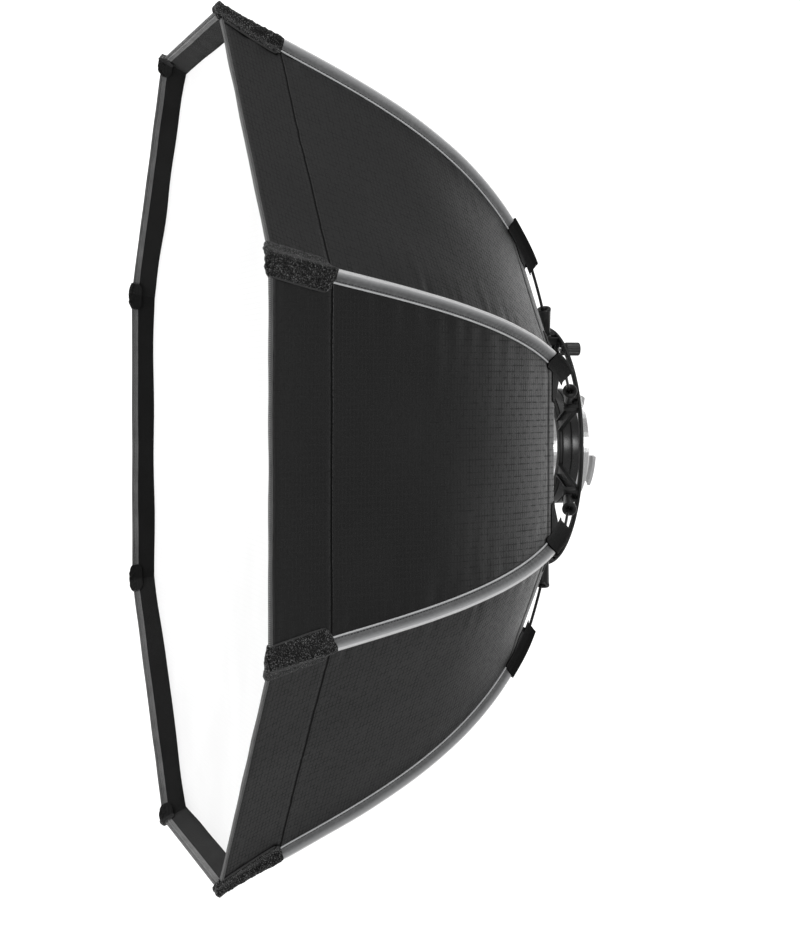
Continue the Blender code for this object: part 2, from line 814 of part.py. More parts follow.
def ribs():
    """The eight ribs, each with its parts under an empty on its hinge."""
    parts = (
        ("rod_holder", holder_mesh(), "black_plastic"),
        ("rib_rod", rod_curve(), "black_rod"),
        ("shell_panel", shell_mesh(), "black_fabric"),
        ("rib_sleeve", sleeve_mesh(), "grey_tape"),
        ("end_tab", tab_mesh(), "black_webbing"),
        ("corner_cap", cap_mesh(), "hook_and_loop"),
    )
    for index in range(RIB_COUNT):
        turn = about_y(rib_angle(index))
        hinge = link(bpy.data.objects.new(f"rib_{index + 1}_hinge", None))
        hinge.matrix_world = turn @ Matrix.Translation((PIVOT_RADIUS, PIVOT_Y, 0))
        for name, data, finish in parts:
            mesh_object(f"{name}_{index + 1}", data, finish, hinge)


def screens():
    front = screen_mesh("front_diffuser", DIFFUSER_Y, DIFFUSER_INSET)
    mesh_object("front_diffuser", front, "white_fabric")
    inner = screen_mesh("inner_baffle", BAFFLE_Y, BAFFLE_INSET)
    mesh_object("inner_baffle", inner, "white_fabric")


def build():
    clear_scene()
    ribs()
    hub_frame()
    collar()
    collar_screws()
    adapter()
    retaining_ring()
    lock_knob()
    screens()


build()
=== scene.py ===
"""Looks of an octagonal umbrella softbox, 0.9 m across its corners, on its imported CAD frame.

Metres, +Z up. The light shines along -Y, and the flash head joins from +Y at the origin.
A rib's own frame has its radius from the Y axis, its height y, and its distance across.
"""

from math import cos, pi, radians, sin, tan

import bmesh
import bpy
import numpy as np
from mathutils import Matrix, Vector


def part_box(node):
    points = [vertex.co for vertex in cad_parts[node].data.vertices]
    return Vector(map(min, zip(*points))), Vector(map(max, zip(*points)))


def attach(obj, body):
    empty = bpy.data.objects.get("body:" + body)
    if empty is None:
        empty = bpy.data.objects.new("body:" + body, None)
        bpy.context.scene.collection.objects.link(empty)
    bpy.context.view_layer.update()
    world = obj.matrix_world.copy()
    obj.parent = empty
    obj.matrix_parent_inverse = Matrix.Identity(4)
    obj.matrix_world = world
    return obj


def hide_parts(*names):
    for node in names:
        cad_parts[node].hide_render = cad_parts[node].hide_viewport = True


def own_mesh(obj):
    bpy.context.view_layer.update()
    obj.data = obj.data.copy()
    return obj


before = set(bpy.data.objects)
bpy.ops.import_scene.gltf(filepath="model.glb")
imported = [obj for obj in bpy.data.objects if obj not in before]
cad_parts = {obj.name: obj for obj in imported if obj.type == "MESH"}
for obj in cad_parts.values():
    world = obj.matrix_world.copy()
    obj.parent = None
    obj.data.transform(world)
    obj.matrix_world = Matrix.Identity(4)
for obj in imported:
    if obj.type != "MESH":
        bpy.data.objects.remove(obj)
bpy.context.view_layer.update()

# The rib's line and the layers over it, as the CAD has them.
RIBS = 8
HALF_STEP = pi / RIBS
FRONT_Y = -0.408
PIVOT = np.array((0.1185, FRONT_Y + 0.3665))
TIP = np.array((0.4470, FRONT_Y))
START_TILT = radians(13.5)
TIP_TILT = radians(32.6)
START_HANDLE = 0.2246
TIP_HANDLE = 0.1205
ROD_RADIUS = 0.0015
ROD_ENDS = (0.030, 0.980)
ROD_LIFT = 0.0032
ROD_TIP_LIFT = 0.0008
HUB_RUN = (0.08, 0.22)
TIP_RUN = (0.78, 0.97)
SHELL_LIFT = -0.0030
SHELL_TIP_LIFT = -0.0010
CLOTH = 0.0009

# Distances behind the front plane.
LIP = 0.0050
HEM = 0.3215
TAB_FRONT = 0.3090
TAB_BACK = 0.3375
CAP_BACK = 0.0655
CAP_INSIDE_BACK = 0.0160
SEAM = 0.0665
DIFFUSER = 0.0280
BAFFLE = 0.1900

CAMERA_PLACE = (2.18954, -0.76156, 0.06755)
CAMERA_YAW = -0.257638
CAMERA_PITCH = -0.040506
CAMERA_ROLL = 0.003019
CAMERA_LENS = 84.50


# --- Camera ---


def make_camera():
    level = cos(CAMERA_PITCH)
    forward = Vector((-cos(CAMERA_YAW) * level, -sin(CAMERA_YAW) * level, sin(CAMERA_PITCH)))
    right = forward.cross(Vector((0, 0, 1))).normalized()
    up = right.cross(forward)
    c, s = cos(CAMERA_ROLL), sin(CAMERA_ROLL)
    side, top = c * right + s * up, c * up - s * right
    turn = Matrix((side, top, -forward)).transposed().to_4x4()
    data = bpy.data.cameras.new("camera")
    data.sensor_width = 36.0
    data.lens = CAMERA_LENS
    camera = bpy.data.objects.new("camera", data)
    camera.matrix_world = Matrix.Translation(CAMERA_PLACE) @ turn
    bpy.context.scene.collection.objects.link(camera)
    bpy.context.scene.camera = camera


# --- Materials ---


class Nodes:
    """Adds nodes to the tree of one material or world."""

    def __init__(self, owner):
        owner.use_nodes = True
        self.owner, self.tree = owner, owner.node_tree
        self.coordinates = self.tree.nodes.new("ShaderNodeTexCoord").outputs

    def put(self, value, socket):
        """Sets a socket to a number, or links another socket into it."""
        if isinstance(value, bpy.types.NodeSocket):
            self.tree.links.new(value, socket)
        elif value is not None:
            socket.default_value = value

    def new(self, kind, inputs, **settings):
        """The outputs of a new node."""
        node = self.tree.nodes.new(kind)
        for key, value in settings.items():
            setattr(node, key, value)
        for key, value in inputs.items():
            self.put(value, node.inputs[key])
        return node.outputs

    def math(self, operation, *values):
        return self.new("ShaderNodeMath", dict(enumerate(values)), operation=operation)[0]

    def parts(self, vector):
        """The vector's X, Y and Z."""
        return self.new("ShaderNodeSeparateXYZ", {0: vector})

    def scaled(self, vector, scale):
        return self.new("ShaderNodeMapping", {"Vector": vector, "Scale": scale})[0]

    def noise(self, vector, scale, detail=2.0, rough=0.5):
        inputs = {"Vector": vector, "Scale": scale, "Detail": detail, "Roughness": rough}
        return self.new("ShaderNodeTexNoise", inputs)[0]

    def cells(self, vector, scale, feature="F1"):
        inputs = {"Vector": vector, "Scale": scale}
        return self.new("ShaderNodeTexVoronoi", inputs, feature=feature)["Distance"]

    def ramp(self, value, low, high, start=0.0, end=1.0):
        """Maps value from start..end to low..high, smoothly and clamped."""
        inputs = dict(enumerate((value, start, end, low, high)))
        return self.new("ShaderNodeMapRange", inputs, interpolation_type="SMOOTHSTEP")[0]

    def mix(self, share, a, b):
        a, b = ((*v, 1.0) if isinstance(v, tuple) else v for v in (a, b))
        inputs = {"Factor": share, "A": a, "B": b}
        return self.new("ShaderNodeMix", inputs, data_type="RGBA")["Result"]

    def shades(self, share, start, end, dark, light):
        """A grey between two shades, as share goes from start to end."""
        return self.mix(self.ramp(share, 0.0, 1.0, start, end), dark, light)

    def bump(self, height, distance, strength=1.0, under=None):
        inputs = {"Height": height, "Distance": distance, "Strength": strength, "Normal": under}
        return self.new("ShaderNodeBump", inputs)[0]

    def threads(self, vector, axis, pitch, width):
        """1 on a thin line every pitch metres along an axis of the vector, 0 between."""
        turns = self.math("FRACT", self.math("MULTIPLY", self.parts(vector)[axis], 1 / pitch))
        away = self.math("ABSOLUTE", self.math("SUBTRACT", turns, 0.5))
        share = width / pitch
        return self.ramp(away, 1.0, 0.0, 0.2 * share, share)

    def weave(self, vector, pitch):
        """A plain weave's height: threads over and under, in a chequer."""
        parts = self.parts(vector)
        waves = [self.math("SINE", self.math("MULTIPLY", parts[i], 2 * pi / pitch)) for i in (0, 1)]
        return self.ramp(self.math("MULTIPLY", *waves), 0.0, 1.0, -1.0, 1.0)

    def finish(self, color, roughness, normal=None, **sockets):
        inputs = self.tree.nodes["Principled BSDF"].inputs
        sockets.update(Base_Color=color, Roughness=roughness, Normal=normal)
        for key, value in sockets.items():
            self.put(value, inputs[key.replace("_", " ")])
        return self.owner


def material_nodes(name):
    return Nodes(bpy.data.materials.new(name))


def grey(value, tint=0.0):
    return (value * (1 - tint), value, value * (1 + 1.5 * tint))


GRID_ALONG, GRID_ACROSS, GRID_THREAD = 0.0042, 0.0052, 0.0008


def ripstop_material():
    """Black coated nylon with a raised grid of thicker threads."""
    n = material_nodes("ripstop_black")
    uv = n.coordinates["UV"]
    along = n.threads(uv, 0, GRID_ALONG, GRID_THREAD)
    lines = n.math("MAXIMUM", along, n.threads(uv, 1, GRID_ACROSS, GRID_THREAD))
    patchy = n.noise(uv, 9.0, 4.0, 0.6)
    fine = n.noise(n.scaled(uv, (900, 900, 1)), 1.0, 2.0)
    broken = n.math("MULTIPLY", lines, n.ramp(n.noise(uv, 150.0, 3.0), 0.25, 1.0, 0.35, 0.65))
    ground = n.shades(patchy, 0.3, 0.7, grey(0.0050), grey(0.0075))
    color = n.mix(broken, ground, grey(0.0028))
    color = n.mix(n.math("MULTIPLY", fine, 0.25), color, grey(0.014))
    weave = n.bump(n.weave(uv, 0.0009), 0.00006, 0.6)
    grid = n.bump(broken, 0.00007, 0.6, weave)
    rumpled = n.bump(n.noise(uv, 26.0, 3.0), 0.0012, 0.25, grid)
    rough = n.math("ADD", n.ramp(patchy, 0.30, 0.38), n.math("MULTIPLY", broken, 0.33))
    return n.finish(
        color, rough, rumpled, Specular_IOR_Level=0.42, Sheen_Weight=0.02, Sheen_Roughness=0.40
    )


def lining_material():
    """Silver reflective lining with fine creases."""
    n = material_nodes("silver_lining")
    uv = n.coordinates["UV"]
    crease = n.cells(n.scaled(uv, (1, 1.4, 1)), 55.0, "SMOOTH_F1")
    soft = n.noise(uv, 18.0, 4.0, 0.6)
    color = n.shades(soft, 0.3, 0.7, grey(0.52), grey(0.66))
    weave = n.bump(n.weave(uv, 0.0012), 0.00008, 0.5)
    normal = n.bump(n.math("ADD", crease, soft), 0.0009, 0.55, weave)
    return n.finish(color, n.ramp(soft, 0.30, 0.44), normal, Metallic=0.75)


def plain_cloth_material(name, dark, light, pitch, rough=0.8, specular=0.2, sheen=0.05):
    """A plain woven cloth whose colour wanders between two shades."""
    n = material_nodes(name)
    uv = n.coordinates["UV"]
    weave = n.weave(uv, pitch)
    patchy = n.noise(uv, 40.0, 4.0, 0.6)
    shade = n.math("ADD", n.math("MULTIPLY", weave, 0.5), n.math("MULTIPLY", patchy, 0.5))
    color = n.shades(shade, 0.25, 0.75, grey(dark), grey(light))
    normal = n.bump(weave, 0.35 * pitch, 0.7)
    return n.finish(color, rough, normal, Specular_IOR_Level=specular, Sheen_Weight=sheen)


def satin_material(name, dark, light, rough, painted_highlight_shades=None):
    """Grey satin tape: fine cross ribs and a soft sheen, with a painted highlight that pales it
    toward the crest at its middle.
    """
    n = material_nodes(name)
    uv = n.coordinates["UV"]
    ribs = n.threads(uv, 0, 0.0009, 0.00045)
    slub = n.noise(n.scaled(uv, (260, 900, 1)), 1.0, 3.0, 0.6)
    patchy = n.noise(uv, 60.0, 3.0, 0.6)
    shade = n.math("ADD", n.math("MULTIPLY", slub, 0.6), n.math("MULTIPLY", patchy, 0.4))
    color = n.shades(shade, 0.3, 0.7, grey(dark, 0.01), grey(light, 0.01))
    # Painted highlight: a pale band and a near-white line along the crest, where light falls on the
    # tape's rounded top.
    if painted_highlight_shades:
        away = n.math("ABSOLUTE", n.parts(uv)[1])
        color = n.mix(n.ramp(away, 1.0, 0.0, 0.0014, 0.0070), color, grey(painted_highlight_shades[0], 0.01))
        painted_line_mask = n.ramp(away, 1.0, 0.0, 0.0009, 0.0021)
        crest = n.math("MULTIPLY", painted_line_mask, n.ramp(patchy, 0.85, 1.0, 0.3, 0.6))
        color = n.mix(crest, color, grey(painted_highlight_shades[1]))
    fine = n.bump(ribs, 0.00010, 0.6)
    normal = n.bump(slub, 0.00018, 0.5, fine)
    return n.finish(
        color, n.ramp(slub, rough - 0.06, rough + 0.08), normal,
        Specular_IOR_Level=0.45, Sheen_Weight=0.15, Sheen_Roughness=0.35,
    )


def webbing_material():
    """Black nylon webbing in a fine herringbone."""
    n = material_nodes("webbing_black")
    uv = n.coordinates["UV"]
    along, across, _ = n.parts(uv)
    zig = n.math("PINGPONG", across, 0.0025)
    slant = n.math("ADD", along, n.math("MULTIPLY", zig, 0.8))
    rows = n.math("SINE", n.math("MULTIPLY", slant, 2 * pi / 0.0013))
    height = n.ramp(rows, 0.0, 1.0, -1.0, 1.0)
    fuzz = n.noise(uv, 900.0, 2.0)
    shade = n.math("MULTIPLY", height, n.ramp(fuzz, 0.4, 1.0, 0.3, 0.7))
    color = n.mix(shade, grey(0.0030), grey(0.0125))
    normal = n.bump(height, 0.00022, 0.8)
    return n.finish(color, 0.70, normal, Specular_IOR_Level=0.15, Sheen_Weight=0.02)


def loop_material():
    """Black loop pile: short curled fibres, with pale flecks painted where they would catch the
    light.
    """
    n = material_nodes("loop_pile_black")
    at = n.coordinates["Object"]
    curls = n.cells(at, 1150.0)
    clumps = n.noise(at, 780.0, 3.0, 0.60)
    broad = n.noise(at, 90.0, 2.0)
    # Painted highlight: pale flecks stand in for glints off the curled fibres.
    painted_glints = n.ramp(clumps, 0.0, 1.0, 0.53, 0.62)
    painted_glints = n.math("MULTIPLY", painted_glints, n.ramp(curls, 1.0, 0.25, 0.1, 0.7))
    painted_glints = n.math("MULTIPLY", painted_glints, n.ramp(broad, 0.45, 1.0, 0.3, 0.65))
    ground = n.shades(clumps, 0.35, 0.65, grey(0.0030), grey(0.010))
    color = n.mix(painted_glints, ground, grey(0.42))
    deep = n.bump(clumps, 0.0011, 0.9)
    normal = n.bump(curls, 0.0005, 0.8, deep)
    return n.finish(
        color, 0.95, normal, Specular_IOR_Level=0.10, Sheen_Weight=0.25, Sheen_Roughness=0.5
    )


def diffuser_material():
    """White ripstop diffusion cloth."""
    n = material_nodes("diffusion_white")
    at = n.coordinates["Object"]
    lines = n.math("MAXIMUM", n.threads(at, 0, 0.0050, 0.0006), n.threads(at, 2, 0.0050, 0.0006))
    soft = n.noise(at, 7.0, 3.0)
    ground = n.shades(soft, 0.3, 0.7, grey(0.88), grey(0.93))
    color = n.mix(n.math("MULTIPLY", lines, 0.4), ground, grey(0.86))
    fine = n.bump(n.noise(at, 1400.0, 2.0), 0.00006, 0.5)
    normal = n.bump(lines, 0.00010, 0.5, fine)
    return n.finish(color, 0.85, normal, Specular_IOR_Level=0.25, Sheen_Weight=0.1)


def plastic_material(name, dark, light, rough, grain=0.00005, specular=0.45):
    """Moulded plastic with a fine spark-eroded grain and slight polish on worn places."""
    n = material_nodes(name)
    at = n.coordinates["Object"]
    grainy = n.noise(at, 1800.0, 2.0)
    wear = n.noise(at, 45.0, 4.0, 0.65)
    color = n.shades(wear, 0.35, 0.75, grey(dark), grey(light))
    normal = n.bump(grainy, grain, 0.7)
    polish = n.ramp(wear, rough + 0.06, rough - 0.06, 0.3, 0.7)
    return n.finish(color, polish, normal, Specular_IOR_Level=specular)


def metal_material(name, value, rough, ring_scale, metallic=1.0):
    """Turned metal: fine tool marks that run round the Y axis."""
    n = material_nodes(name)
    at = n.coordinates["Object"]
    x, y, z = n.parts(at)
    radius = n.math("SQRT", n.math("MULTIPLY_ADD", z, z, n.math("MULTIPLY", x, x)))
    across, along = (n.math("MULTIPLY", way, ring_scale) for way in (radius, y))
    marks = n.noise(n.new("ShaderNodeCombineXYZ", {0: across, 1: along})[0], 1.0, 4.0, 0.7)
    smudge = n.noise(at, 60.0, 3.0)
    color = n.shades(smudge, 0.3, 0.8, grey(value), grey(value * 0.86))
    normal = n.bump(marks, 0.00005, 0.5)
    worn = n.ramp(marks, rough - 0.05, rough + 0.08, 0.3, 0.7)
    return n.finish(color, worn, normal, Metallic=metallic)


def floor_material():
    n = material_nodes("pale_floor")
    soft = n.noise(n.coordinates["Object"], 1.2, 2.0)
    color = n.mix(soft, grey(0.58), grey(0.62))
    return n.finish(color, 0.9, Specular_IOR_Level=0.1)


# --- Shape helpers ---


def smooth(value, low, high):
    t = np.clip((np.asarray(value, float) - low) / (high - low), 0, 1)
    return t * t * (3 - 2 * t)


def rib_line(share):
    """Points (radius, y) of the rib's line at those shares, and the normals out from it."""
    t = np.asarray(share, float)[..., None]
    s = 1 - t
    b = PIVOT + START_HANDLE * np.array((cos(START_TILT), -sin(START_TILT)))
    c = TIP + TIP_HANDLE * np.array((-sin(TIP_TILT), cos(TIP_TILT)))
    point = s**3 * PIVOT + 3 * s * s * t * b + 3 * s * t * t * c + t**3 * TIP
    along = s * s * (b - PIVOT) + 2 * s * t * (c - b) + t * t * (TIP - c)
    along = along / np.linalg.norm(along, axis=-1, keepdims=True)
    return point, np.stack((-along[..., 1], along[..., 0]), -1)


def run_of(points):
    """The length run along a line at each of its points."""
    return np.r_[0, np.cumsum(np.linalg.norm(np.diff(points, axis=0), axis=1))]


TABLE_SHARES = np.linspace(0, 1, 2001)
TABLE_POINTS = rib_line(TABLE_SHARES)[0]
TABLE_ARC = run_of(TABLE_POINTS)


def share_behind(distance):
    """The share of the rib's line that lies that far behind the front plane."""
    return np.interp(-(FRONT_Y + np.asarray(distance, float)), -TABLE_POINTS[:, 1], TABLE_SHARES)


def arc_at(share):
    """Length along the rib's line, measured back from its tip."""
    return TABLE_ARC[-1] - np.interp(share, TABLE_SHARES, TABLE_ARC)


def rod_offset(share):
    ending = smooth(share, *TIP_RUN)
    return ROD_LIFT * smooth(share, *HUB_RUN) * (1 - ending) + ROD_TIP_LIFT * ending


def shell_offset(share):
    return SHELL_LIFT + (SHELL_TIP_LIFT - SHELL_LIFT) * smooth(share, *TIP_RUN)


def on_rib(share, offset, across):
    """(radius, y, across) points over the rib, laid on the octagon's two flat sides."""
    point, normal = rib_line(share)
    place = point + np.asarray(offset, float)[..., None] * normal
    fall = np.abs(across) * tan(HALF_STEP)
    return np.stack((place[..., 0] - fall, place[..., 1], across + 0 * fall), -1)


def rib_angle(index):
    return HALF_STEP * (2 * index + 1)


def to_world(index, local):
    """(radius, y, across) of rib number index, from 0, to the object's frame."""
    c, s = cos(rib_angle(index)), sin(rib_angle(index))
    r, y, t = local[..., 0], local[..., 1], local[..., 2]
    return np.stack((r * c - t * s, y, r * s + t * c), -1)


def squash_on_rib(piece):
    """Gives a piece its own copy of its mesh."""
    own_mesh(piece)


def grid_faces(rows, columns, wrap=False, flip=False, first=0):
    """Quads of a grid of points, which may close round its columns."""
    faces = []
    for i in range(rows - 1):
        a, b = first + i * columns, first + (i + 1) * columns
        for j in range(columns if wrap else columns - 1):
            k = (j + 1) % columns
            face = (a + j, a + k, b + k, b + j)
            faces.append(face[::-1] if flip else face)
    return faces


def border(rows, columns):
    """The points round the edge of a grid, in order."""
    loop = list(range(columns))
    loop += [i * columns + columns - 1 for i in range(1, rows)]
    loop += [(rows - 1) * columns + j for j in range(columns - 2, -1, -1)]
    return loop + [i * columns for i in range(rows - 2, 0, -1)]


def joined_layers(loop, total):
    """Quads from a closed loop of points to the same loop in a layer total points later."""
    return [(a, b, total + b, total + a) for a, b in zip(loop, loop[1:] + loop[:1])]


def turned_faces(sides, count):
    """Quads of a closed profile of count points, turned through sides steps."""
    faces = grid_faces(sides + 1, count, wrap=True)
    return [tuple(v % (sides * count) for v in face) for face in faces]


def circle(count):
    """The cosines and sines of evenly spaced angles."""
    angles = np.linspace(0, 2 * pi, count, endpoint=False)
    return np.cos(angles), np.sin(angles)


class Shape:
    """Points, faces, materials and UVs of one piece, gathered part by part."""

    def __init__(self):
        self.points, self.faces, self.finish, self.uvs = [], [], [], []
        self.count = 0

    def add(self, points, faces, finish=0, uvs=None):
        points = np.asarray(points, float).reshape(-1, 3)
        self.points.append(points)
        uvs = np.zeros((len(points), 2)) if uvs is None else np.asarray(uvs, float)
        self.uvs.append(uvs.reshape(-1, 2))
        self.faces += [tuple(v + self.count for v in face) for face in faces]
        self.finish += list(finish) if hasattr(finish, "__len__") else [finish] * len(faces)
        self.count += len(points)
        return self

    def sweep(self, rings, finish=0, uvs=None):
        """A closed tube through rings of points: an array of rows, columns and 3."""
        rows, columns = rings.shape[:2]
        faces = grid_faces(rows, columns, wrap=True)
        faces.append(tuple(range(columns))[::-1])
        faces.append(tuple(range((rows - 1) * columns, rows * columns)))
        if uvs is None:
            uvs = np.stack(np.meshgrid(run_of(rings[:, 0]), run_of(rings[0]), indexing="ij"), -1)
        return self.add(rings, faces, finish, uvs)

    def on_rib_number(self, index):
        """Moves the whole shape from a rib's own frame to the object's."""
        self.points = [to_world(index, points) for points in self.points]

    def lathe(self, profile, sides):
        """A closed profile of (radius, y) turned about Y."""
        r, y = np.asarray(profile, float).T[:, None]
        x, z = (r * way[:, None] for way in circle(sides))
        rings = np.stack((x, y + 0 * x, z), -1)
        return self.add(rings, turned_faces(sides, len(profile)))

    def bevelled_box(self, size, radius, segments, matrix):
        """A box with its edges rounded, moved by matrix."""
        made = bmesh.new()
        bmesh.ops.create_cube(made, size=1.0, matrix=Matrix.Diagonal((*size, 1.0)))
        how = dict(offset=radius, segments=segments, affect="EDGES", profile=0.5)
        bmesh.ops.bevel(made, geom=list(made.edges), **how)
        bmesh.ops.transform(made, matrix=matrix, verts=made.verts)
        made.verts.index_update()
        points = [tuple(v.co) for v in made.verts]
        faces = [tuple(v.index for v in f.verts) for f in made.faces]
        made.free()
        return self.add(points, faces)


def fillet(points, radius, steps):
    """The closed outline with each corner rounded off."""
    points = [np.asarray(p, float) for p in points]
    made = []
    for i, corner in enumerate(points):
        before, after = points[i - 1] - corner, points[(i + 1) % len(points)] - corner
        reach = min(radius, 0.45 * np.linalg.norm(before), 0.45 * np.linalg.norm(after))
        a = corner + before / np.linalg.norm(before) * reach
        b = corner + after / np.linalg.norm(after) * reach
        for t in np.linspace(0, 1, steps + 1):
            made.append((1 - t) ** 2 * a + 2 * t * (1 - t) * corner + t * t * b)
    return np.array(made)


def make_piece(name, shape, materials, body, node, angle=40.0):
    """The object of a Shape, which rides on a body and stands for a CAD node."""
    mesh = bpy.data.meshes.new(name)
    points = np.concatenate(shape.points)
    uvs = np.concatenate(shape.uvs)
    mesh.from_pydata(points.tolist(), [], shape.faces)
    layer = mesh.uv_layers.new(name="UVMap")
    corners = np.empty(len(mesh.loops), np.int32)
    mesh.loops.foreach_get("vertex_index", corners)
    layer.data.foreach_set("uv", uvs[corners].astype(np.float32).ravel())
    for material in materials:
        mesh.materials.append(material)
    mesh.polygons.foreach_set("material_index", np.array(shape.finish, np.int32))
    made = bmesh.new()
    made.from_mesh(mesh)
    bmesh.ops.recalc_face_normals(made, faces=made.faces)
    made.to_mesh(mesh)
    made.free()
    mesh.shade_smooth()
    mesh.set_sharp_from_angle(angle=radians(angle))
    mesh.update()
    piece = bpy.data.objects.new(name, mesh)
    bpy.context.scene.collection.objects.link(piece)
    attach(piece, body)
    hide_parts(node)
    return piece


def rib_piece(kind, node, index, shape, materials, angle=40.0):
    """One rib's piece, which stands for that rib's CAD node."""
    number = index + 1
    body = f"rib_{number}"
    return make_piece(f"{kind}_{number}", shape, materials, body, f"{node}_{number}", angle)


def wander(seed, u, v, wavelength, count=7):
    """A smooth random field of about unit height, from a few seeded waves."""
    random = np.random.RandomState(seed)
    total = 0
    for _ in range(count):
        turn = random.uniform(0, 2 * pi)
        length = wavelength * random.uniform(0.7, 1.6)
        phase = random.uniform(0, 2 * pi)
        total = total + np.sin(2 * pi * (u * cos(turn) + v * sin(turn)) / length + phase)
    return total / count**0.5


def ripple(seed, u, wavelength):
    """A smooth random line of about unit height."""
    return wander(seed, u, 0 * u, wavelength, 5)


make_camera()
RIPSTOP = ripstop_material()
LINING = lining_material()
LIP_LINING = plain_cloth_material("lip_lining_black", 0.0045, 0.010, 0.0008, 0.85, 0.12)
BINDING = plain_cloth_material("edge_binding", 0.050, 0.240, 0.0016, 0.6, 0.35, 0.10)
# The last pair gives the shades of the painted highlight along the tape's crest.
SATIN = satin_material("grey_satin_tape", 0.15, 0.24, 0.36, (0.60, 1.00))
PIPING = satin_material("pale_piping", 0.78, 0.94, 0.38)
WEBBING = webbing_material()
LOOP = loop_material()
LOOP_EDGE = plain_cloth_material("loop_strap_edge", 0.050, 0.130, 0.0010, 0.8, 0.3)
DIFFUSION = diffuser_material()
THREAD = plain_cloth_material("dark_thread", 0.010, 0.022, 0.0006, 0.6, 0.3)
HUB_PLASTIC = plastic_material("hub_plastic", 0.012, 0.020, 0.48)
HOLDER_PLASTIC = plastic_material("holder_plastic", 0.016, 0.028, 0.36)
COLLAR_FINISH = plastic_material("collar_black", 0.018, 0.024, 0.30, 0.00003, 0.6)
KNOB_PLASTIC = plastic_material("knob_plastic", 0.045, 0.075, 0.36)
ROD_FINISH = plastic_material("rod_black", 0.008, 0.014, 0.28, 0.00002, 0.5)
SILVER = metal_material("turned_silver", 0.90, 0.28, 5200.0, 0.80)
STEEL = metal_material("bright_steel", 0.62, 0.26, 3000.0)


# --- Fabric panels ---

PANEL_ROWS = 96
PANEL_COLUMNS = 30
LIP_EDGE = 0.0080
HEM_STITCH = HEM - 0.0095
LINING_FRONT = 0.0345


def panel_rows():
    """Distances behind the front plane of a panel's rows, with extra ones at its seams."""
    even = np.linspace(LIP, HEM, PANEL_ROWS)
    seams = [LIP + 0.0012, LIP_EDGE - 0.0005, LIP_EDGE, LIP_EDGE + 0.0005, LIP_EDGE + 0.0010]
    seams += [SEAM - 0.0016, SEAM - 0.0008, SEAM, SEAM + 0.0008]
    seams += [HEM_STITCH - 0.0008, HEM_STITCH, HEM_STITCH + 0.0008, HEM - 0.0012]
    seams += [LINING_FRONT - 0.0004, LINING_FRONT + 0.0004]
    rows = np.sort(np.concatenate((even, seams)))
    return rows[np.r_[True, np.diff(rows) > 0.0003]]


def gore_place(index, side, across, half):
    """The gore that one side of a panel lies in, and the distance from that gore's middle."""
    if side > 0:
        return index, across - half
    return (index - 1) % RIBS, half - across


def panel_relief(index, side, behind, arc, across, half):
    """How far the cloth's outer face stands from the plain surface."""
    gore, from_middle = gore_place(index, side, across, half)
    share = across / half
    sag = -0.0016 * np.sin(pi * np.clip(behind / HEM, 0, 1)) * np.sin(pi * share / 2) ** 2
    drift = 0.00045 * wander(300 + gore, arc, from_middle, 0.11) * smooth(across, 0.006, 0.05)
    near_rib = np.exp(-np.clip(across - 0.006, 0, 1) / 0.013)
    pucker = 0.00042 * ripple(20 + 2 * index + (side > 0), arc, 0.014) * near_rib
    crease = 0.0003 * wander(500 + gore, 1.6 * arc, 0.45 * from_middle, 0.035) * near_rib**0.4
    lip = 0.0010 * (1 - smooth(behind, LIP_EDGE - 0.0005, LIP_EDGE))
    lip = lip - 0.0008 * np.exp(-(((behind - LIP_EDGE - 0.0004) / 0.0006) ** 2))
    step = 0.00020 * smooth(behind, SEAM - 0.0007, SEAM + 0.0001)
    groove = -0.0007 * np.exp(-(((behind - SEAM + 0.0010) / 0.0007) ** 2))
    hem = 0.0004 * smooth(behind, HEM_STITCH, HEM_STITCH + 0.0006)
    hem_stitch = -0.0004 * np.exp(-(((behind - HEM_STITCH) / 0.0007) ** 2))
    near_seam = np.exp(-(((behind - SEAM) / 0.006) ** 2))
    seam_pull = 0.00025 * ripple(60 + gore, from_middle, 0.012) * near_seam
    free = smooth(across, 0.005, 0.011) * smooth(behind, LIP, LIP + 0.004)
    loose = sag + drift + pucker + crease + seam_pull
    return lip + step + groove + hem + hem_stitch + free * loose


def panel_layer(index, behind, offset, relief):
    """Points and UVs of one face of a panel."""
    share = share_behind(behind)
    line, normal = rib_line(share)
    radius = line[:, 0] + offset(share) * normal[:, 0]
    half = (radius * sin(HALF_STEP) * cos(HALF_STEP))[:, None]
    f = np.linspace(-1, 1, 2 * PANEL_COLUMNS + 1)[None, :]
    side = np.sign(f)
    graded = np.abs(f) - 0.125 * np.sin(2 * pi * np.abs(f))
    across = half * graded
    arc = arc_at(share)[:, None] + 0 * across
    far_back = behind[:, None] + 0 * across
    right, left = (relief(index, way, far_back, arc, across, half) for way in (1, -1))
    away = np.where(f >= 0, right, left)
    shares, offsets = share[:, None] + 0 * across, offset(share)[:, None] + 0 * across
    points = on_rib(shares, offsets, side * across)
    points[..., 0] += away * normal[:, None, 0] * cos(HALF_STEP)
    points[..., 1] += away * normal[:, None, 1]
    points[..., 2] += away * normal[:, None, 0] * sin(HALF_STEP) * side
    uvs = np.stack((arc, side * (half - across)), -1)
    return points, uvs


def lining_relief(index, side, behind, arc, across, half):
    """How far the lining stands from its own plain surface, under the outer face."""
    gore, from_middle = gore_place(index, side, across, half)
    outer = panel_relief(index, side, behind, arc, across, half)
    own = 0.0003 * (wander(700 + gore, arc, from_middle, 0.05) - 1.2)
    return outer - 0.0012 * (1 - smooth(behind, LIP, LIP_EDGE)) + own * smooth(across, 0.004, 0.02)


